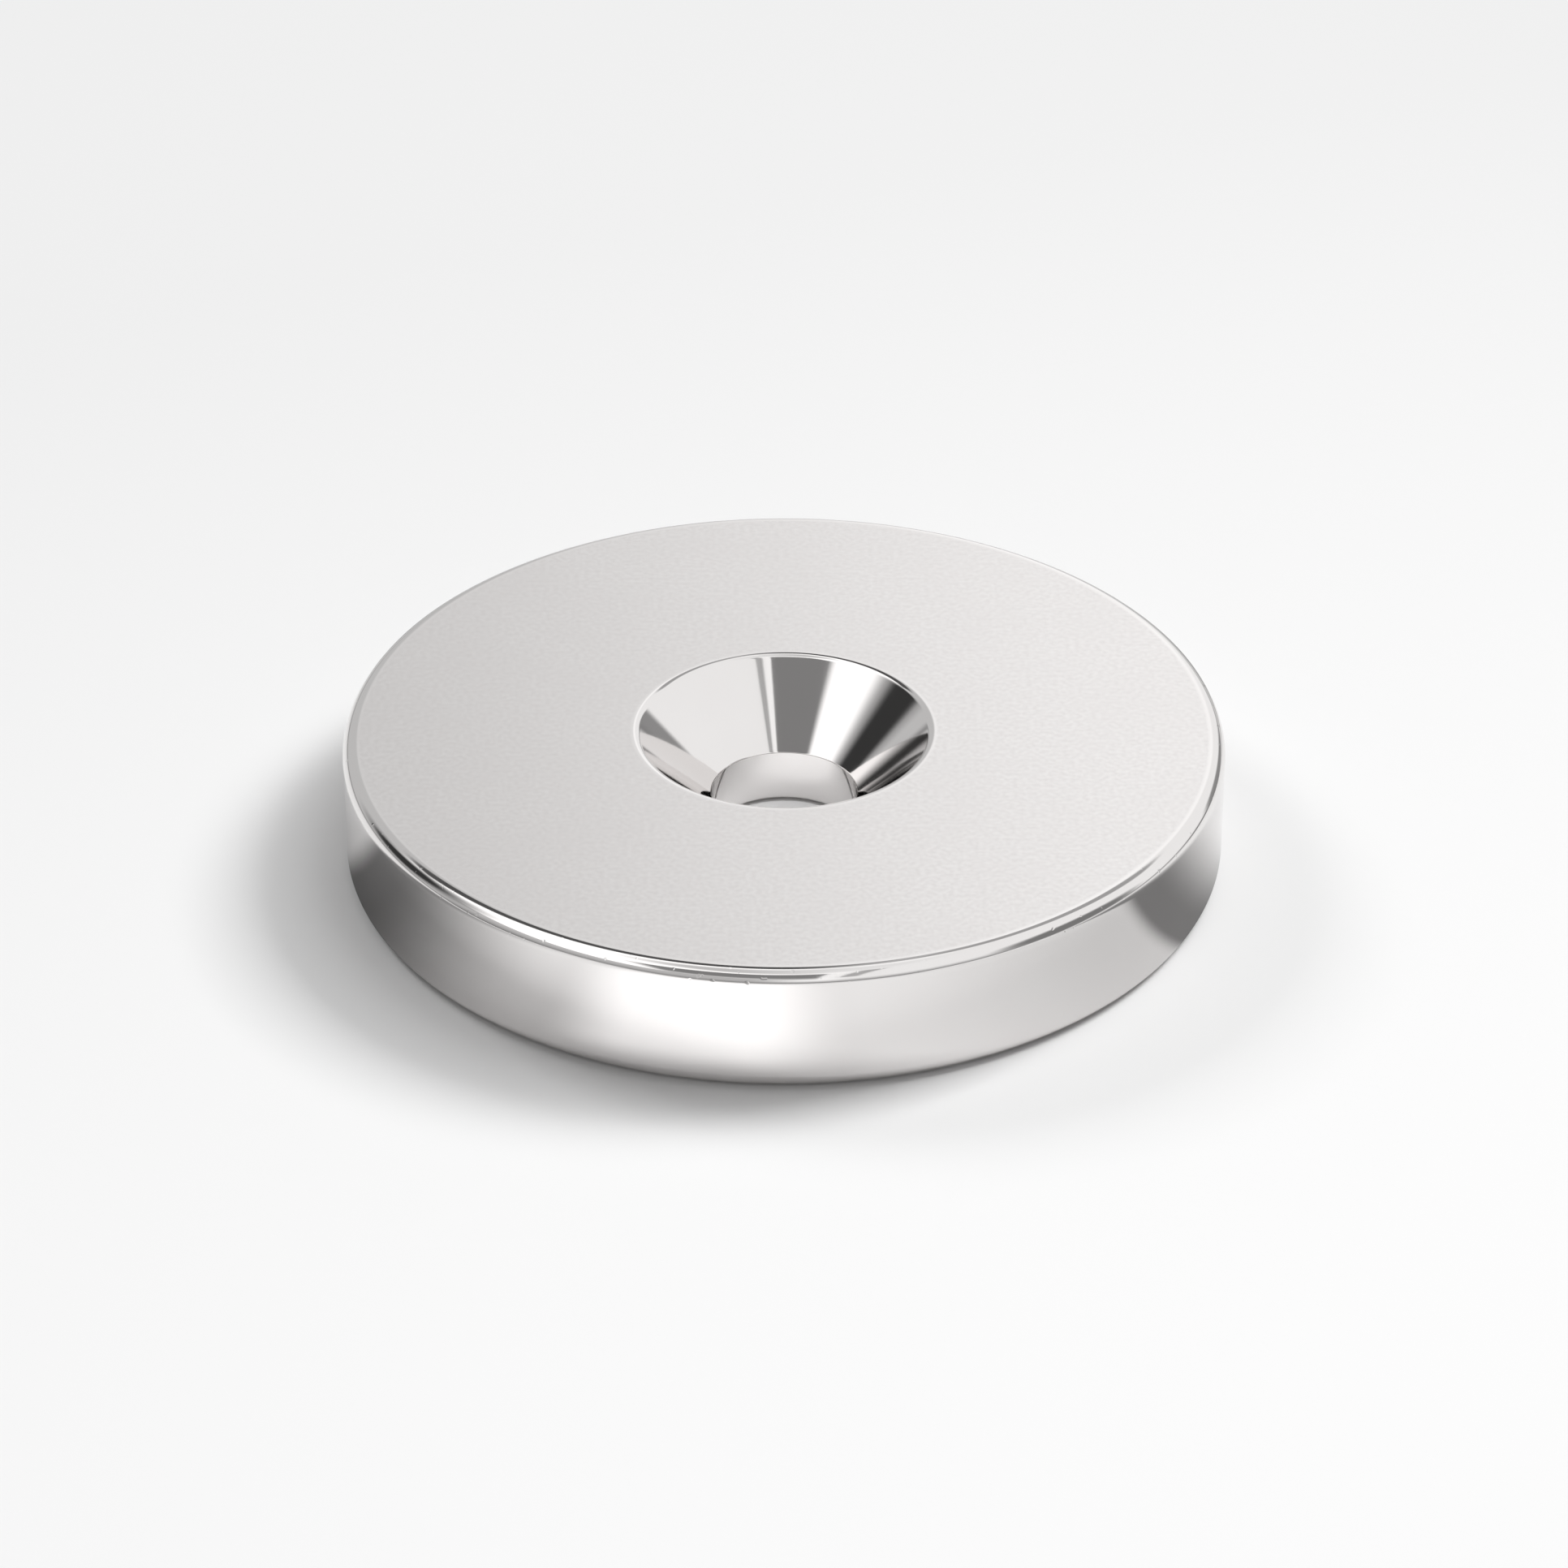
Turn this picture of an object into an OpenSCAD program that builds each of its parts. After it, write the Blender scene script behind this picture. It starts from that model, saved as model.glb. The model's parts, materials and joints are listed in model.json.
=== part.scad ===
// Countersunk disc magnet: one sintered and plated ring with a screw hole through its middle.
// It lies on its plain back face at z = 0, with the countersunk front face up.

/* [Disc] */
// Outside diameter of the disc
disc_d = 27; // [22:0.5:40]
// Thickness from the back face to the front face
disc_t = 4; // [3.2:0.1:8]
// Radius of the rounded edges between the rim and the two faces
rim_edge_r = 0.45; // [0.1:0.05:1.2]

/* [Screw hole] */
// Diameter of the straight bore that the screw's shank passes through
bore_d = 4.5; // [3.4:0.1:5.5]
// Radius of the rounded edge where the bore leaves the back face
bore_edge_r = 0.2; // [0.05:0.05:0.4]

/* [Countersink] */
// Diameter at which the cone meets the front face, before that edge is rounded
mouth_d = 9; // [7:0.1:10.5]
// Included angle of the cone, the same as under the screw's head
cone_angle = 90; // [82:1:100]
// Radius of the rounded edge between the cone and the front face
mouth_edge_r = 0.3; // [0.1:0.05:0.6]

/* [Hidden] */

disc_r = disc_d / 2;
bore_r = bore_d / 2;
mouth_r = mouth_d / 2;

// Height at which the cone runs out into the straight bore
cone_foot_z = disc_t - (mouth_r - bore_r) / tan(cone_angle / 2);

// Distance from the sharp corner of the mouth to each end of its rounding arc
mouth_tangent = mouth_edge_r * tan((90 - cone_angle / 2) / 2);

// How far the hole's section runs out past each face
run_out = 1;

// Facets of a full turn of the disc and of a rounding arc's full circle
turn_fn = 180;
edge_fn = 64;

// Half section of the plain disc, from the axis out to the rim
module disc_section() {
    square([disc_r - rim_edge_r, disc_t]);
    translate([0, rim_edge_r])
        square([disc_r, disc_t - 2 * rim_edge_r]);
    for (arc_z = [rim_edge_r, disc_t - rim_edge_r])
        translate([disc_r - rim_edge_r, arc_z])
            circle(r = rim_edge_r, $fn = edge_fn);
}

// Half section of the straight bore, with its back edge rounded outwards
module bore_section() {
    translate([0, -run_out])
        square([bore_r, disc_t + 2 * run_out]);
    difference() {
        translate([bore_r - bore_edge_r, -run_out])
            square([2 * bore_edge_r, run_out + bore_edge_r]);
        translate([bore_r + bore_edge_r, bore_edge_r])
            circle(r = bore_edge_r, $fn = edge_fn);
    }
}

// Half section of the cone, with its mouth rounded over into the front face
module countersink_section() {
    polygon([
        [0, cone_foot_z],
        [bore_r, cone_foot_z],
        [mouth_r, disc_t],
        [mouth_r, disc_t + run_out],
        [0, disc_t + run_out]
    ]);
    arc_x = mouth_r + mouth_tangent;
    arc_z = disc_t - mouth_edge_r;
    difference() {
        polygon([
            [mouth_r, disc_t + run_out],
            [arc_x, disc_t + run_out],
            [arc_x, arc_z],
            [mouth_r - mouth_tangent * sin(cone_angle / 2), disc_t - mouth_tangent * cos(cone_angle / 2)]
        ]);
        translate([arc_x, arc_z])
            circle(r = mouth_edge_r, $fn = edge_fn);
    }
}

// The whole magnet, turned from one section so that every edge runs true around the axis
module countersunk_magnet() {
    color("#d8d8d6")
        rotate_extrude($fn = turn_fn)
            difference() {
                disc_section();
                bore_section();
                countersink_section();
            }
}

countersunk_magnet();
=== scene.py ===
# %% [markdown]
# # A countersunk disc magnet
#
# The real thing is one piece. Magnet powder is pressed and sintered into a ring, the ring is ground
# flat, its edges are tumbled round, and the whole blank is plated with nickel. So nothing is put
# together here: one turned surface carries all the looks, and the looks are those of bare metal.
#
# Bright metal shows mostly what stands around it. The lesson has three parts: the surface, its two
# finishes, and the studio, with the camera and all that the metal mirrors.

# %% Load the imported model
import json
import math

import bpy
import numpy as np
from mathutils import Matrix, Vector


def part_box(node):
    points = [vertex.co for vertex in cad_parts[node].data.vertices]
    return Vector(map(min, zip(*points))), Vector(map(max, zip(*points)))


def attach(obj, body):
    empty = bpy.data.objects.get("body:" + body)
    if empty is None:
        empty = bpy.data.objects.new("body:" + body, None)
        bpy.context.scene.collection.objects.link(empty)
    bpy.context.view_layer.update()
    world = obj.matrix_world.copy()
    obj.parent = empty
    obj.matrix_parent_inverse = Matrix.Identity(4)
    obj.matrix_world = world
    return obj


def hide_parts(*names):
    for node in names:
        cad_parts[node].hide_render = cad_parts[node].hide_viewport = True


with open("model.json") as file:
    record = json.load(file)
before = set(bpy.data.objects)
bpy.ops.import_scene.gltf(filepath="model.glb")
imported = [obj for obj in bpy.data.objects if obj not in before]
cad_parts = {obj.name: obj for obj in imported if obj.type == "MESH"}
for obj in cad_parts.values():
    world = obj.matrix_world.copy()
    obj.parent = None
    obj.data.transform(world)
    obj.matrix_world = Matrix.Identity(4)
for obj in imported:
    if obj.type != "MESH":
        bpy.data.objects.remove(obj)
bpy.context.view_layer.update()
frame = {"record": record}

MM = 0.001
NODE = "countersunk_magnet"

low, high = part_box(NODE)
disc_r = (high.x - low.x) / 2
disc_t = high.z - low.z
mounts = {mount["name"]: mount for mount in frame["record"]["mounts"]}
bore_r = mounts["screw_hole"]["dims"]["r_mm"] * MM
print(f"disc {2 * disc_r / MM:.1f} mm across, {disc_t / MM:.1f} mm thick, bore {2 * bore_r / MM:.1f} mm")

# %% [markdown]
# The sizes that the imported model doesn't state are those of the edges and the cone. They are real
# sizes, in millimetres turned to metres. The tumbled rim edge is the largest rounding. The foot of
# the cone stays nearly sharp: only the thickness of the plating rounds it.

# %% Sizes of the edges and the cone
cone_half_angle = math.radians(45)
mouth_r = 4.5 * MM
rim_edge_r = 0.45 * MM
mouth_edge_r = 0.30 * MM
bore_edge_r = 0.20 * MM
foot_edge_r = 0.06 * MM

cone_foot_z = disc_t - (mouth_r - bore_r) / math.tan(cone_half_angle)
print(f"the cone is {(disc_t - cone_foot_z) / MM:.2f} mm deep")

# %% [markdown]
# ## The surface
#
# A turned part is a half section carried round its axis. The section is a closed loop of points in
# radius and height. Modifiers such as Screw and Bevel could make it too, but worked out one by one each
# arc is a true arc, and the point spacing follows the curvature. That matters on a mirror, where a
# single flat facet shows at once.
#
# A corner between two straight stretches is rounded by an arc that touches both. Its centre lies on
# the line that halves the corner, and the arc turns through the angle between the two stretches.


# %% Round a corner of the section
def corner_arc(before, corner, after, radius, steps):
    """Points of the arc of the given radius that touches the lines before-corner and corner-after.

    The touching points lie radius * tan(turn / 2) from the corner, where turn is the angle between
    the two directions of travel. The points between them turn the radius evenly from one normal to
    the other.
    """
    before, corner, after = (np.array(p, float) for p in (before, corner, after))
    way_in = (corner - before) / np.linalg.norm(corner - before)
    way_out = (after - corner) / np.linalg.norm(after - corner)
    cross = way_in[0] * way_out[1] - way_in[1] * way_out[0]
    turn = math.atan2(cross, way_in @ way_out)
    start = corner - way_in * radius * math.tan(abs(turn) / 2)
    side = math.copysign(1.0, turn) * np.array([-way_in[1], way_in[0]])
    centre = start + side * radius
    angle = np.linspace(0, turn, steps + 1)
    arm = start - centre
    return centre + np.stack([
        arm[0] * np.cos(angle) - arm[1] * np.sin(angle),
        arm[0] * np.sin(angle) + arm[1] * np.cos(angle),
    ], axis=1)


# %% [markdown]
# The loop runs outwards along the back face, up the rim, inwards along the front face, and down the
# cone and the bore. With that direction of travel the metal lies on the left, so the outside is on
# the right all the way, and one rule for the faces' winding holds everywhere.
#
# Each long straight stretch gets two points close to the arc at either end. Smooth shading blends the
# normals of neighbouring faces, and the closest point keeps that blend out of the flat stretch. The
# next one is where the change of finish, further down, is over.

# %% Work out the closed section
KEEP_FLAT = 0.02 * MM
FINISH_BLEND = 0.10 * MM

# For each corner: radius, height, the radius of its rounding, and the steps of that arc.
corners = [
    (bore_r, 0.0, bore_edge_r, 10),
    (disc_r, 0.0, rim_edge_r, 20),
    (disc_r, disc_t, rim_edge_r, 20),
    (mouth_r, disc_t, mouth_edge_r, 14),
    (bore_r, cone_foot_z, foot_edge_r, 6),
]
# Evenly spaced points on the back face, the rim, the front face, the cone and the bore.
straight_steps = [20, 5, 18, 14, 6]


def stretch(start, end, steps):
    """Points between the ends of two arcs: one close to each end and the rest evenly between them."""
    length = np.linalg.norm(end - start)
    even = np.linspace(FINISH_BLEND, length - FINISH_BLEND, steps)
    distance = np.concatenate([[KEEP_FLAT], even, [length - KEEP_FLAT]])
    return start + distance[:, None] / length * (end - start)


arcs = []
for i, (r, z, radius, steps) in enumerate(corners):
    before = corners[i - 1][:2]
    after = corners[(i + 1) % len(corners)][:2]
    arcs.append(corner_arc(before, (r, z), after, radius, steps))

section_parts = []
for i, arc in enumerate(arcs):
    section_parts.append(arc)
    section_parts.append(stretch(arc[-1], arcs[(i + 1) % len(arcs)][0], straight_steps[i]))
section = np.concatenate(section_parts)
print(f"the section has {len(section)} points in {len(section_parts)} stretches")

# %% [markdown]
# The finish changes along the section. The two flat faces were ground before plating and stay satin.
# The rim, the rounded edges and the hole came out of the tumbling bright. So each point gets a number
# that says how much of it is ground face: 1 on the flats and 0 elsewhere, with a short blend where
# the grinding runs out into the rounding. A second number does the same for the straight rim.


# %% Say which points lie on a ground face and which on the rim
FACE_TOLERANCE = 0.0001 * MM


def ground_share(points):
    """1 on a flat face and 0 off it, falling evenly over FINISH_BLEND at both ends of the flat.

    A flat runs from the end of its inner rounding to the start of its outer one, so the share is the
    distance to the nearer end, divided by the blend and held between 0 and 1.
    """
    radius, height = points[:, 0], points[:, 1]
    outer_end = disc_r - rim_edge_r
    mouth_end = mouth_r + mouth_edge_r * math.tan((math.pi / 2 - cone_half_angle) / 2)
    inner_end = np.where(height > disc_t / 2, mouth_end, bore_r + bore_edge_r)
    inside = np.minimum(radius - inner_end, outer_end - radius)
    on_face = (height < FACE_TOLERANCE) | (height > disc_t - FACE_TOLERANCE)
    return np.where(on_face, np.clip(inside / FINISH_BLEND, 0, 1), 0.0)


def rim_share(points):
    """1 on the straight rim and 0 off it: the height into the rounding, held between 0 and 1."""
    radius, height = points[:, 0], points[:, 1]
    inside = np.minimum(height, disc_t - height) / rim_edge_r
    return np.where(radius > disc_r - rim_edge_r, np.clip(inside, 0, 1), 0.0)


ground = ground_share(section)
rim = rim_share(section)
print(f"{int((ground > 0.5).sum())} points lie on the ground faces, {int((rim > 0.5).sum())} on the rim")

# %% [markdown]
# Now the section is carried round the axis. Every point of the surface is the section's radius times
# the cosine and sine of the angle, with the section's height. Both directions are closed loops, so
# the last row of faces joins the first and there is no seam or pole to close.
#
# The surface also gets a UV map in millimetres: across, the way round the rim, and up, the way along
# the section. A finish that follows the turning can then be drawn at its real size.

# %% Turn the section round the axis
TURN_STEPS = 512


def turned_mesh(name, points, steps):
    """A mesh of the closed section turned round Z: x = r cos a, y = r sin a, z = height."""
    angle = np.arange(steps) * (2 * math.pi / steps)
    radius, height = points[:, :1], points[:, 1:]
    grid = np.stack([
        radius * np.cos(angle),
        radius * np.sin(angle),
        np.broadcast_to(height, (len(points), steps)),
    ], axis=-1)

    row, column = np.meshgrid(np.arange(len(points)), np.arange(steps), indexing="ij")
    next_row, next_column = (row + 1) % len(points), (column + 1) % steps
    quads = np.stack([
        row * steps + column,
        row * steps + next_column,
        next_row * steps + next_column,
        next_row * steps + column,
    ], axis=-1).reshape(-1, 4)

    mesh = bpy.data.meshes.new(name)
    mesh.vertices.add(grid.shape[0] * grid.shape[1])
    mesh.vertices.foreach_set("co", grid.astype(np.float32).ravel())
    mesh.loops.add(quads.size)
    mesh.loops.foreach_set("vertex_index", quads.astype(np.int32).ravel())
    mesh.polygons.add(len(quads))
    mesh.polygons.foreach_set("loop_start", np.arange(0, quads.size, 4, dtype=np.int32))
    mesh.update(calc_edges=True)

    lengths = np.linalg.norm(np.roll(points, -1, axis=0) - points, axis=1)
    along = np.concatenate([[0], np.cumsum(lengths)]) / MM
    around = np.arange(steps + 1) * (2 * math.pi / steps) * disc_r / MM
    uv = np.stack([
        np.stack([around[column], along[row]], axis=-1),
        np.stack([around[column + 1], along[row]], axis=-1),
        np.stack([around[column + 1], along[row + 1]], axis=-1),
        np.stack([around[column], along[row + 1]], axis=-1),
    ], axis=2).reshape(-1, 2)
    uv_map = mesh.uv_layers.new(name="turned")
    uv_map.data.foreach_set("uv", uv.astype(np.float32).ravel())
    return mesh


mesh = turned_mesh("plated_magnet", section, TURN_STEPS)
for name, values in (("ground", ground), ("rim", rim)):
    share = mesh.attributes.new(name, "FLOAT", "POINT")
    share.data.foreach_set("value", np.repeat(values, TURN_STEPS).astype(np.float32))
mesh.shade_smooth()
print(f"{len(mesh.vertices)} points, {len(mesh.polygons)} faces")

# %% [markdown]
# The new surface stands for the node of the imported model, at the same place and size. It rides on
# the one body that a part without joints has.

# %% Put the surface in the model's place
magnet = bpy.data.objects.new("plated_magnet", mesh)
bpy.context.scene.collection.objects.link(magnet)
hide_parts(NODE)
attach(magnet, "root")

# %% [markdown]
# ## The finish
#
# Two helpers serve every material. Colours are written as sRGB hex values, as a colour picker shows
# them, and turned to the linear values that Blender works in. The other helper adds one node with
# its settings and its links in a single call.


# %% Helpers for colours and nodes
def linear(hex_colour):
    """Linear RGBA of an sRGB hex colour: v / 12.92 below 0.04045, else ((v + 0.055) / 1.055) ^ 2.4."""
    values = [int(hex_colour[i:i + 2], 16) / 255 for i in (1, 3, 5)]
    return [v / 12.92 if v <= 0.04045 else ((v + 0.055) / 1.055) ** 2.4 for v in values] + [1.0]


def add_node(tree, kind, inputs=None, **settings):
    """Adds a shader node: settings are its own values, inputs are socket values or links by socket."""
    node = tree.nodes.new("ShaderNode" + kind)
    for name, value in settings.items():
        setattr(node, name, value)
    for name, value in (inputs or {}).items():
        if isinstance(value, bpy.types.NodeSocket):
            tree.links.new(value, node.inputs[name])
        else:
            node.inputs[name].default_value = value
    return node


# %% [markdown]
# The plating is bright nickel, a warm silvery metal. What the base under it was ground or tumbled to
# decides how sharp its mirror is. On the ground faces the nickel is satin: it blurs what it mirrors
# and shows a fine grain. On the rim, the rounded edges and in the hole it is close to a mirror. One
# material holds both, because it is one coat of nickel, and the share of ground face picks between.

# %% Start the bright nickel plating
nickel = bpy.data.materials.new("bright_nickel_plating")
nickel.use_nodes = True
tree = nickel.node_tree
tree.nodes.clear()

place = add_node(tree, "TexCoord").outputs["Object"]
turned = add_node(tree, "UVMap", uv_map="turned").outputs["UV"]
ground_face = add_node(tree, "Attribute", attribute_name="ground").outputs["Fac"]
rim_side = add_node(tree, "Attribute", attribute_name="rim").outputs["Fac"]
print(f"{nickel.name} starts from {len(tree.nodes)} inputs")

# %% [markdown]
# Five noises draw what making and handling left on the metal. Each has a size in millimetres. The
# clouds of tone and the plating's soft waves are as wide as real ones. The real grain, the streaks
# across the rim and the pits are a few hundredths of a millimetre wide, about a pixel of the picture.
# They are drawn several times coarser than that, or they wouldn't show.
#
# Object coordinates are in metres, so a pattern of so many millimetres has a scale of 1000 / mm. The
# streaks use the UV map instead, which is in millimetres: across is round the rim, and up is along
# the section.

# %% The patterns, by their size in millimetres
CLOUD_MM = 3.0
WAVE_MM = 1.2
GRAIN_MM = 0.16
STREAK_MM = 0.12
STREAK_LENGTH_MM = 2.5
PIT_MM = 0.18

cloud = add_node(tree, "TexNoise", {"Vector": place, "Scale": 1000 / CLOUD_MM, "Detail": 3.0}).outputs["Fac"]
wave = add_node(tree, "TexNoise", {"Vector": place, "Scale": 1000 / WAVE_MM, "Detail": 1.0}).outputs["Fac"]
grain = add_node(tree, "TexNoise", {"Vector": place, "Scale": 1000 / GRAIN_MM, "Detail": 3.0}).outputs["Fac"]
speck = add_node(tree, "TexNoise", {"Vector": place, "Scale": 1000 / PIT_MM, "Detail": 0.0}).outputs["Fac"]

stretched = add_node(tree, "VectorMath", {
    0: turned, 1: (1 / STREAK_MM, 1 / STREAK_LENGTH_MM, 1.0),
}, operation="MULTIPLY").outputs["Vector"]
streak = add_node(tree, "TexNoise", {"Vector": stretched, "Scale": 1.0, "Detail": 2.0}).outputs["Fac"]
print(f"finest pattern {STREAK_MM:.2f} mm, widest {CLOUD_MM:.1f} mm")

# %% [markdown]
# Nickel is a little warmer than chrome or silver. Clouds of a slightly deeper tone lie all over it,
# and on the ground faces the grain dulls it here and there.

# %% The colour of the metal
NICKEL, DEEPER_NICKEL = linear("#edebea"), linear("#e8e5e4")

dull = add_node(tree, "MapRange", {"Value": grain, "From Min": 0.35, "From Max": 0.65}).outputs["Result"]
dull_face = add_node(tree, "Math", {0: dull, 1: ground_face}, operation="MULTIPLY").outputs["Value"]
tint = add_node(tree, "Mix", {
    "Factor": cloud, "A": NICKEL, "B": DEEPER_NICKEL,
}, data_type="RGBA").outputs["Result"]
colour = add_node(tree, "Mix", {
    "Factor": dull_face, "A": tint, "B": DEEPER_NICKEL,
}, data_type="RGBA").outputs["Result"]
print("nickel, linear:", [round(part, 2) for part in NICKEL[:3]])
print("deeper nickel:", [round(part, 2) for part in DEEPER_NICKEL[:3]])

# %% [markdown]
# Roughness is how far the metal blurs what it mirrors, from 0 for a perfect mirror. Satin nickel lies
# at about 0.2. The bright parts stay below 0.1, a little duller along each streak.

# %% How sharp the mirror is
SATIN = (0.19, 0.24)
BRIGHT = (0.05, 0.09)

satin = add_node(tree, "MapRange", {
    "Value": grain, "From Min": 0.3, "From Max": 0.7, "To Min": SATIN[0], "To Max": SATIN[1],
}).outputs["Result"]
bright = add_node(tree, "MapRange", {
    "Value": streak, "From Min": 0.3, "From Max": 0.7, "To Min": BRIGHT[0], "To Max": BRIGHT[1],
}).outputs["Result"]
roughness = add_node(tree, "Mix", {
    "Factor": ground_face, "A": bright, "B": satin,
}, data_type="FLOAT").outputs["Result"]
print(f"roughness {SATIN} on the ground faces, {BRIGHT} elsewhere")

# %% [markdown]
# Bump tilts the mirror without moving the surface. Metal this bright shows the smallest slope, so the
# heights are below a thousandth of a millimetre: grain on the ground faces, streaks on the rim, and
# long soft waves everywhere. Each Bump node passes its result on to the next as the Normal to tilt.

# %% Grain, streaks and waves
GRAIN_DEPTH = 0.00018 * MM
STREAK_DEPTH = 0.0004 * MM
WAVE_DEPTH = 0.0008 * MM

ground_grain = add_node(tree, "Math", {0: grain, 1: ground_face}, operation="MULTIPLY").outputs["Value"]
grained = add_node(tree, "Bump", {
    "Height": ground_grain, "Strength": 1.0, "Distance": GRAIN_DEPTH,
}).outputs["Normal"]
rim_streak = add_node(tree, "Math", {0: streak, 1: rim_side}, operation="MULTIPLY").outputs["Value"]
streaked = add_node(tree, "Bump", {
    "Height": rim_streak, "Strength": 1.0, "Distance": STREAK_DEPTH, "Normal": grained,
}).outputs["Normal"]
waved = add_node(tree, "Bump", {
    "Height": wave, "Strength": 1.0, "Distance": WAVE_DEPTH, "Normal": streaked,
}).outputs["Normal"]
depths = [round(depth / MM * 1000, 2) for depth in (GRAIN_DEPTH, STREAK_DEPTH, WAVE_DEPTH)]
print("grain, streaks and waves, in thousandths of a millimetre:", depths)

# %% [markdown]
# Magnets knock against each other, which leaves a few tiny pits along the rounded edges. The share
# of straight rim passes through all values there, so that share times its rest picks the edges. That
# product is a quarter at most, so the pits start out four times as deep. Only the highest spots of the
# noise become pits.

# %% Pits along the rounded edges
PIT_DEPTH = 0.004 * MM
PIT_STARTS, PIT_FULL = 0.75, 0.84

pit = add_node(tree, "MapRange", {
    "Value": speck, "From Min": PIT_STARTS, "From Max": PIT_FULL, "To Min": 0.0, "To Max": -4.0,
}).outputs["Result"]
rest = add_node(tree, "Math", {0: 1.0, 1: rim_side}, operation="SUBTRACT").outputs["Value"]
on_edge = add_node(tree, "Math", {0: rim_side, 1: rest}, operation="MULTIPLY").outputs["Value"]
edge_pit = add_node(tree, "Math", {0: pit, 1: on_edge}, operation="MULTIPLY").outputs["Value"]
pitted = add_node(tree, "Bump", {
    "Height": edge_pit, "Strength": 1.0, "Distance": PIT_DEPTH, "Normal": waved,
}).outputs["Normal"]
print(f"pits up to {PIT_DEPTH / MM * 1000:.0f} thousandths of a millimetre deep")

# %% [markdown]
# One shader takes all of this. It is fully metallic, so its colour says how much of the red, green and
# blue light it mirrors. Its other settings stay at their defaults.

# %% Put the nickel on the magnet
metal = add_node(tree, "BsdfPrincipled", {
    "Base Color": colour, "Metallic": 1.0, "Roughness": roughness, "Normal": pitted,
}).outputs["BSDF"]
add_node(tree, "OutputMaterial", {"Surface": metal})
magnet.data.materials.append(nickel)
print(f"{nickel.name} has {len(tree.nodes)} nodes")

# %% [markdown]
# ## The studio
#
# The camera looks down on the disc from about a third of the way up. It stands a little over six
# diameters away, as far as it would in a product shot, so the face narrows towards the back as
# little as it does there. The lens is then as long as it takes for the disc to span a little over
# half the picture.

# %% The camera
PICTURE_PX = 1932
MAGNET_PX = 1080
CAMERA_ELEVATION = math.radians(32)
CAMERA_DISTANCE = 12.6 * disc_r
SENSOR = 36.0

camera_data = bpy.data.cameras.new("camera")
camera = bpy.data.objects.new("camera", camera_data)
bpy.context.scene.collection.objects.link(camera)
bpy.context.scene.camera = camera

aim = np.array([0.0, 0.0, disc_t / 2])
back = np.array([0.0, -math.cos(CAMERA_ELEVATION), math.sin(CAMERA_ELEVATION)])
camera.location = aim + back * CAMERA_DISTANCE
camera.rotation_euler = (math.pi / 2 - CAMERA_ELEVATION, 0.0, 0.0)
camera_data.sensor_width = SENSOR
camera_data.lens = SENSOR * (MAGNET_PX / PICTURE_PX) * CAMERA_DISTANCE / (2 * disc_r)
camera_data.clip_start = 0.01
camera_data.clip_end = 10.0
print(f"camera {CAMERA_DISTANCE / MM:.0f} mm away, lens {camera_data.lens:.0f} mm")

# %% [markdown]
# Bright metal is drawn by soft-edged zones of light and dark, on the floor and in the tent over it.
# Four helpers lay them out: a soft step, the overlap of several steps, their union, and an even grey
# laid over what is there. They add their nodes to the tree that is being built.


# %% Helpers for soft zones
def ramp(value, start, end):
    """0 at start and 1 at end, with a smooth step between. start may be larger than end."""
    low, high = min(start, end), max(start, end)
    step = add_node(tree, "MapRange", {
        "Value": value, "From Min": low, "From Max": high,
        "To Min": 0.0 if start < end else 1.0, "To Max": 1.0 if start < end else 0.0,
    }, interpolation_type="SMOOTHSTEP")
    return step.outputs["Result"]


def both(first, *others):
    """The product of several masks: 1 only where all of them are 1."""
    for other in others:
        first = add_node(tree, "Math", {0: first, 1: other}, operation="MULTIPLY").outputs["Value"]
    return first


def either(first, *others):
    """The largest of several masks: 1 where any of them is 1."""
    for other in others:
        first = add_node(tree, "Math", {0: first, 1: other}, operation="MAXIMUM").outputs["Value"]
    return first


def layer(under, mask, grey):
    """Lays a grey over what is there where the mask is 1. Both may be plain values or links."""
    laid = add_node(tree, "Mix", {"Factor": mask, "A": under, "B": grey}, data_type="FLOAT")
    return laid.outputs["Result"]


# %% [markdown]
# The floor is a plain round sheet of pale paper. It lies a hair below the magnet, because two
# surfaces in exactly one plane would flicker through each other when seen from underneath.

# %% The floor
FLOOR_R = 0.9
FLOOR_SIDES = 128
FLOOR_GAP = 0.02 * MM

angle = np.arange(FLOOR_SIDES) * (2 * math.pi / FLOOR_SIDES)
floor_points = np.stack([
    FLOOR_R * np.cos(angle), FLOOR_R * np.sin(angle), np.full(FLOOR_SIDES, -FLOOR_GAP),
], axis=1)
floor_mesh = bpy.data.meshes.new("floor")
floor_mesh.from_pydata(floor_points.tolist(), [], [list(range(FLOOR_SIDES))])
floor = bpy.data.objects.new("floor", floor_mesh)
bpy.context.scene.collection.objects.link(floor)
print(f"floor {2 * FLOOR_R:.1f} m across, {FLOOR_GAP / MM:.2f} mm below the magnet")

# %% [markdown]
# The paper's colour carries painted shade: it is painted lightest towards the camera and a little to the
# right, and darker towards the back and left, as if the light fell off there. Far out it turns into an
# even white, so that no edge or horizon shows from any side.

# %% The paper's painted shade
PLAIN_FROM, PLAIN_TO = 0.02, 0.10
PLAIN_COLOUR = linear("#eeeeee")
LIGHTEST, DARKEST = 0.92, 0.79
SHADE_REACH = 0.045

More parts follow.
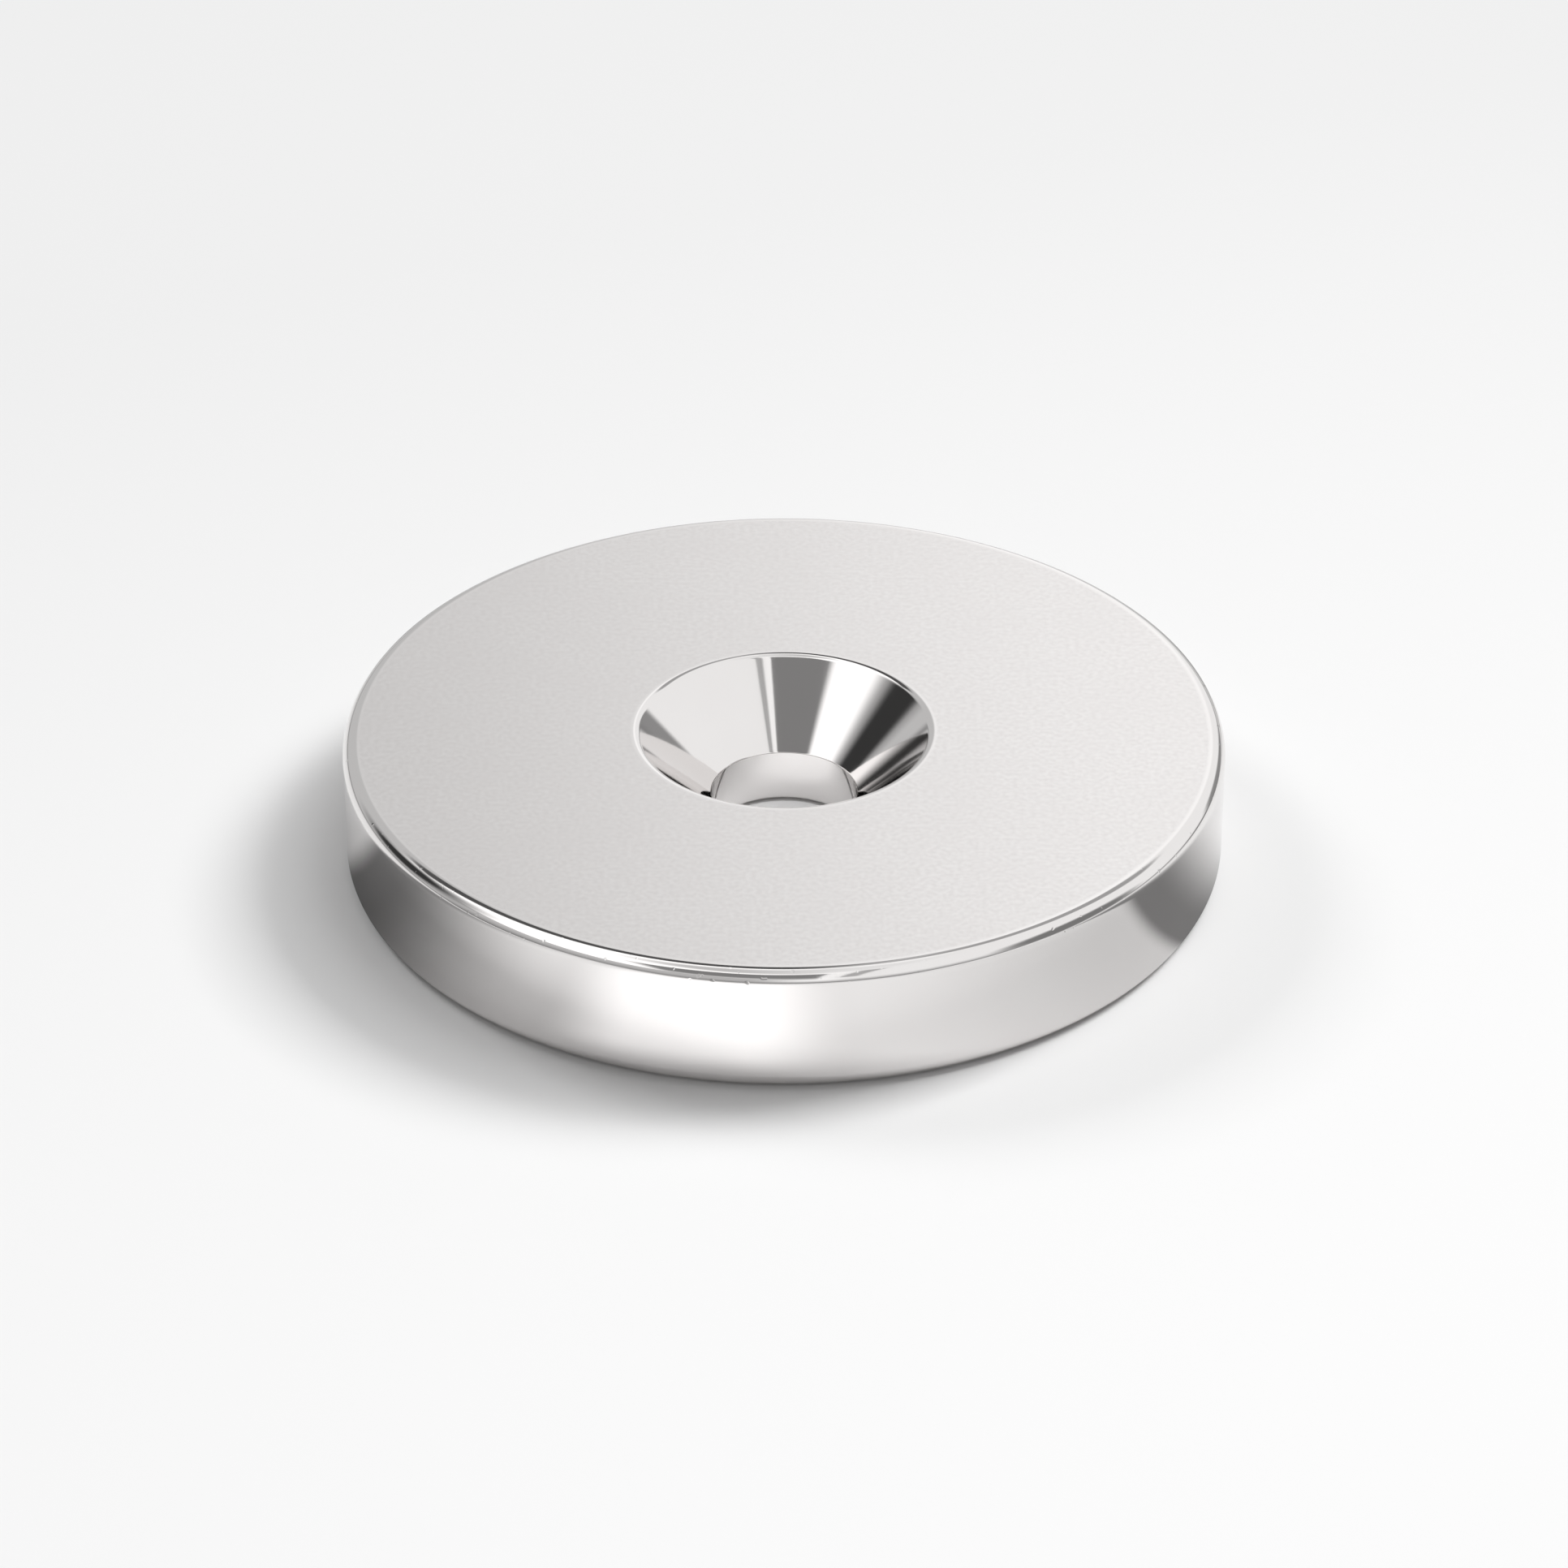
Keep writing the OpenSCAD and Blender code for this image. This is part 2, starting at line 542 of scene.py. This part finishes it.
paper = bpy.data.materials.new("paper_with_painted_shade_and_reflections")
paper.use_nodes = True
tree = paper.node_tree
tree.nodes.clear()
place = add_node(tree, "TexCoord").outputs["Object"]
reach = add_node(tree, "VectorMath", {0: place}, operation="LENGTH").outputs["Value"]
back_left = add_node(tree, "VectorMath", {0: place, 1: (-0.4, 1.0, 0.0)}, operation="DOT_PRODUCT")
# Painted shade: the paper's grey is painted lighter in front and to the right, darker at the back left.
painted_paper_shade = add_node(tree, "MapRange", {
    "Value": back_left.outputs["Value"], "From Min": -SHADE_REACH, "From Max": SHADE_REACH,
    "To Min": LIGHTEST, "To Max": DARKEST,
}).outputs["Result"]
print(f"the paper turns plain from {PLAIN_FROM / MM:.0f} to {PLAIN_TO / MM:.0f} mm out")

# %% [markdown]
# The rim of a disc that lies flat mirrors nothing but the first six millimetres of floor around it.
# White paper alone would make polished metal look like china, so the paper carries painted reflections
# round the magnet that only mirrored rays see, as if cards lay there: a white band in front that glows,
# a painted highlight, and dark bands beside it, painted shade. They put the same run of light, soft
# grey and near-black round the rim as a rim that stands upright gets from the studio. The dark bands
# reach in under the rim. The white one starts a little way out, so that the dark line where the magnet
# meets the floor stays.

# %% The painted reflections that the rim mirrors
PAINTED_REFLECTIONS_FROM = disc_r - 1.5 * MM
WHITE_FROM, WHITE_FULL = 1.03 * disc_r, 1.13 * disc_r
PAINTED_HIGHLIGHT_GLOW = 0.40

split = add_node(tree, "SeparateXYZ", {"Vector": place})
floor_x, floor_y = (split.outputs[axis] for axis in "XY")
front = add_node(tree, "Math", {0: floor_y, 1: -1.0}, operation="MULTIPLY").outputs["Value"]
around = add_node(tree, "Math", {0: floor_x, 1: front}, operation="ARCTAN2").outputs["Value"]


def reflection_band(rise_from, rise_to, fall_from, fall_to):
    """1 between the two middle angles round the magnet and 0 outside the outer two, in degrees.

    The angle is 0 straight in front of the magnet and grows to the right.
    """
    a, b, c, d = (math.radians(degrees) for degrees in (rise_from, rise_to, fall_from, fall_to))
    return both(ramp(around, a, b), ramp(around, d, c))


rays = add_node(tree, "LightPath")
mirrored = both(rays.outputs["Is Glossy Ray"], ramp(reach, PAINTED_REFLECTIONS_FROM - MM, PAINTED_REFLECTIONS_FROM))
# Painted reflections, seen only by mirrored rays: the last number of each line is the grey of the band,
# as a share of the paper's own.
painted_reflections = layer(1.0, reflection_band(-88, -80, -74, -38), 0.26)
painted_reflections = layer(painted_reflections, reflection_band(12, 58, 60, 64), 0.78)
painted_reflections = layer(painted_reflections, reflection_band(60, 65, 70, 94), 0.24)
painted_reflections = layer(painted_reflections, reflection_band(128, 136, 146, 168), 0.35)
painted_reflections = layer(painted_reflections, reflection_band(-170, -150, -142, -136), 0.40)
painted_reflection_grey = layer(1.0, mirrored, painted_reflections)
# A painted highlight: a white band in front of the magnet that glows for mirrored rays.
painted_highlight = both(mirrored, reflection_band(-36, -22, -6, 10), ramp(reach, WHITE_FROM, WHITE_FULL))
print(f"the cards lie from {PAINTED_REFLECTIONS_FROM / MM:.0f} mm out")

# %% [markdown]
# The paper's painted shade, with the magnet's real shadow on it, shows through all of this. The even
# white far out is for rays that are seen, straight or in the metal, and lights nothing.
#
# Seen from underneath the paper is clear, so that the magnet's back face can be looked at too. The
# part that the magnet covers is clear from both sides, or the back face would mirror a dark slit.

# %% Matt white paper
matt_grey = both(painted_paper_shade, painted_reflection_grey)
matt = add_node(tree, "BsdfDiffuse", {"Color": matt_grey}).outputs["BSDF"]
# The painted highlight glows by itself, though no lamp stands there.
painted_highlight_strength = both(painted_highlight, PAINTED_HIGHLIGHT_GLOW)
painted_highlight_light = add_node(tree, "Emission", {"Strength": painted_highlight_strength}).outputs["Emission"]
near_floor = add_node(tree, "AddShader", {0: matt, 1: painted_highlight_light}).outputs["Shader"]

seen = either(*(rays.outputs[f"Is {kind} Ray"] for kind in ("Camera", "Glossy", "Transmission")))
plain_share = both(ramp(reach, PLAIN_FROM, PLAIN_TO), seen)
plain = add_node(tree, "Emission", {"Color": PLAIN_COLOUR, "Strength": 1.0}).outputs["Emission"]
top_side = add_node(tree, "MixShader", {0: plain_share, 1: near_floor, 2: plain}).outputs["Shader"]

underneath = add_node(tree, "NewGeometry").outputs["Backfacing"]
covered = both(ramp(reach, bore_r + bore_edge_r, bore_r + 2 * bore_edge_r),
               ramp(reach, disc_r - rim_edge_r, disc_r - 2 * rim_edge_r))
clear = add_node(tree, "BsdfTransparent").outputs["BSDF"]
sheet = add_node(tree, "MixShader", {0: either(underneath, covered), 1: top_side, 2: clear})
add_node(tree, "OutputMaterial", {"Surface": sheet.outputs["Shader"]})
floor_mesh.materials.append(paper)
print(f"{paper.name} has {len(tree.nodes)} nodes")

# %% [markdown]
# The face, the cone and the rounded edges mirror what is above the floor. That is a tent of pale
# cloth with a few things hung in it, all far away compared with the magnet, so they are painted on
# the world by direction. The cloth is darker on the left, which gives the face its slow change from
# grey at the left to nearly white at the right. Low in front it is in shade.

# %% The tent
CLOTH_LEFT, CLOTH_RIGHT, CLOTH_FAR_RIGHT = 0.58, 1.13, 0.98
FRONT_SHADE = 0.35

world = bpy.data.worlds.new("tent")
bpy.context.scene.world = world
world.use_nodes = True
tree = world.node_tree
tree.nodes.clear()
way = add_node(tree, "TexCoord").outputs["Generated"]
split = add_node(tree, "SeparateXYZ", {"Vector": way})
way_x, way_y, way_z = (split.outputs[axis] for axis in "XYZ")

cloth = add_node(tree, "MapRange", {
    "Value": way_x, "From Min": -0.16, "From Max": 0.10, "To Min": CLOTH_LEFT, "To Max": CLOTH_RIGHT,
}, interpolation_type="SMOOTHSTEP").outputs["Result"]
cloth = layer(cloth, ramp(way_x, 0.12, 0.26), CLOTH_FAR_RIGHT)
light = layer(cloth, both(ramp(way_y, 0.10, -0.10), ramp(way_z, 0.45, 0.05)), FRONT_SHADE)
print(f"{len(tree.nodes)} nodes for the cloth")

# %% [markdown]
# Each thing in the tent is there for one line in the metal. The soft box over the left makes the
# white bands of the cone and of the rounded edge. The roof straight above is a calm grey, darker on
# the left, so that the face isn't lost against the paper when it is seen from right above. The grey
# card above the camera makes the even grey wedge in the cone, and the narrow strip beside it the thin
# grey line next to that wedge. The bars behind the magnet draw the dark line between the face and its
# rounded edge.
#
# Directions have a length of 1: way_x is to the right, way_y away from the camera and way_z up. Each
# thing is laid over what is there at its own level of light, where 1 is white.


# %% What hangs high in the tent
def near(centre, inner, outer):
    """1 within inner degrees of the direction centre, and 0 beyond outer degrees of it."""
    centre = np.array(centre) / np.linalg.norm(centre)
    cosine = add_node(tree, "VectorMath", {0: way, 1: centre.tolist()}, operation="DOT_PRODUCT")
    return ramp(cosine.outputs["Value"], math.cos(math.radians(outer)), math.cos(math.radians(inner)))


softbox = both(ramp(way_z, 0.50, 0.56), ramp(way_x, 0.10, -0.08), ramp(way_y, 0.55, 0.45))
roof = near((0.0, 0.0, 1.0), 9, 22)
roof_grey = add_node(tree, "MapRange", {
    "Value": way_x, "From Min": -0.12, "From Max": 0.12, "To Min": 0.60, "To Max": 0.88,
}).outputs["Result"]
grey_card = both(ramp(way_y, -0.30, -0.40), ramp(way_z, 0.93, 0.90), ramp(way_z, 0.38, 0.70),
                 ramp(way_x, 0.13, 0.12), ramp(way_x, -0.50, -0.40))
strip = both(ramp(way_y, -0.20, -0.30), ramp(way_z, 0.55, 0.60),
             ramp(way_x, 0.20, 0.205), ramp(way_x, 0.27, 0.265))
bar = both(ramp(way_y, 0.40, 0.46), ramp(way_z, 0.66, 0.70))
left_bar = both(bar, ramp(way_x, 0.14, 0.0))
right_bar = both(bar, ramp(way_x, 0.0, 0.14), ramp(way_x, 0.62, 0.48))

light = layer(light, softbox, 1.35)
light = layer(light, roof, roof_grey)
light = layer(light, grey_card, 0.24)
light = layer(light, strip, 0.45)
light = layer(light, left_bar, 0.09)
light = layer(light, right_bar, 0.40)
print(f"{len(tree.nodes)} nodes with what hangs high")

# %% [markdown]
# Dark flags stand lower, at the sides. The left one makes the near-black streak in the right half of
# the cone, since a hollow mirrors the side opposite to it, and the soft shade round it is the streak's
# gradient from white. The other two make the dark ends of the cone and of the rounded edges. Round
# the foot of the tent runs its shaded hem.

# %% Flags at the sides
left_shade = near((-0.83, 0.30, 0.46), 10, 26)
left_flag = near((-0.83, 0.33, 0.44), 8, 16)
right_flag = near((0.92, -0.25, 0.30), 12, 24)
back_flag = near((0.66, 0.74, 0.12), 8, 14)
hem = ramp(way_z, 0.15, 0.06)

light = layer(light, left_shade, 0.30)
light = layer(light, left_flag, 0.04)
light = layer(light, right_flag, 0.22)
light = layer(light, back_flag, 0.30)
light = layer(light, hem, 0.25)
print(f"{len(tree.nodes)} nodes with the flags")

# %% [markdown]
# Seen level with the floor, the rim mirrors only what stands on the horizon. An even grey wall there
# would leave it flat, so two dark cards and a white one stand against the wall. The same grey, seen
# through the clear underside of the floor, is what the back face mirrors.

# %% Low cards on the horizon
low_down = ramp(way_z, 0.08, 0.02)
dark_left = near((-0.95, -0.30, 0.0), 8, 20)
dark_back = near((0.80, 0.60, 0.0), 6, 18)
white_front = near((0.75, -0.66, 0.0), 6, 22)

light = layer(light, low_down, 0.62)
light = layer(light, both(low_down, dark_left), 0.14)
light = layer(light, both(low_down, dark_back), 0.18)
light = layer(light, both(low_down, white_front), 1.0)
print(f"{len(tree.nodes)} nodes with the low cards")

# %% [markdown]
# Only mirrored rays see the tent. What the floor takes from the world is one even level, so that the
# depth of the shadow can be set by itself, and what the camera sees past the floor is the floor's own
# plain colour.

# %% Who sees what of the world
EVEN_LEVEL = 0.25

rays = add_node(tree, "LightPath")
lit = layer(EVEN_LEVEL, rays.outputs["Is Glossy Ray"], light)
straight = either(rays.outputs["Is Camera Ray"], rays.outputs["Is Transmission Ray"])
plain_grey = PLAIN_COLOUR[0]
shown = layer(lit, straight, plain_grey)
backdrop = add_node(tree, "Background", {"Color": shown, "Strength": 1.0}).outputs["Background"]
add_node(tree, "OutputWorld", {"Surface": backdrop})
print(f"{world.name} has {len(tree.nodes)} nodes")

# %% [markdown]
# Three soft lamps light the floor. The key stands right of the magnet and a little behind it, so the
# shadow falls to the left. A weaker one at the left gives a second, faint shadow, and one overhead
# reaches down into the hole. The rim mirrors that floor, shadows and all. The lamps themselves are
# kept out of the metal, where the tent already has its white bands.
#
# A lamp's power is worked out from the light that it should give: a level of 1 makes white paper
# white. A flat lamp of power P sends P / pi squared / distance squared of that straight ahead, and a
# floor under a slanting light gets that times the sine of its height.

# %% The lamps
LAMP_DISTANCE = 1.20


def soft_lamp(name, azimuth, elevation, size, level):
    """A square lamp of the given size that lights the floor at the origin to the given level."""
    turn, lift = math.radians(azimuth), math.radians(elevation)
    data = bpy.data.lights.new(name, "AREA")
    data.shape = "SQUARE"
    data.size = size
    data.energy = level * math.pi ** 2 * LAMP_DISTANCE ** 2 / math.sin(lift)
    lamp = bpy.data.objects.new(name, data)
    bpy.context.scene.collection.objects.link(lamp)
    towards = (math.sin(turn) * math.cos(lift), math.cos(turn) * math.cos(lift), math.sin(lift))
    lamp.location = [LAMP_DISTANCE * part for part in towards]
    lamp.rotation_mode = "QUATERNION"
    lamp.rotation_quaternion = lamp.location.to_track_quat("Z", "Y")
    lamp.visible_camera = False
    lamp.visible_glossy = False
    print(f"{name}: {data.energy:.2f} W")


soft_lamp("key", 60, 44, 0.45, 0.50)
soft_lamp("second", -50, 38, 0.40, 0.15)
soft_lamp("overhead", 60, 68, 0.60, 0.24)

# %% [markdown]
# Little of that light gets down the hole, where the bore mirrors the paper under the magnet. A spot
# straight above reaches it. Its beam is narrower than the magnet, so it lights nothing else. A spot
# of power P gives white paper straight ahead a level of P / 4 / pi squared / distance squared.

# %% A spot for the paper under the hole
HOLE_LEVEL = 0.28

spot_data = bpy.data.lights.new("hole_spot", "SPOT")
spot_data.spot_size = math.radians(1.0)
spot_data.energy = HOLE_LEVEL * 4 * math.pi ** 2 * LAMP_DISTANCE ** 2
spot = bpy.data.objects.new("hole_spot", spot_data)
bpy.context.scene.collection.objects.link(spot)
spot.location = (0.0, 0.0, LAMP_DISTANCE)
spot.visible_camera = False
spot.visible_glossy = False
print(f"beam {LAMP_DISTANCE * math.tan(spot_data.spot_size / 2) / MM:.1f} mm in radius")

# %% [markdown]
# The picture is shown as it is computed, with no film curve over it.

# %% Finish
bpy.context.scene.view_settings.view_transform = "Standard"
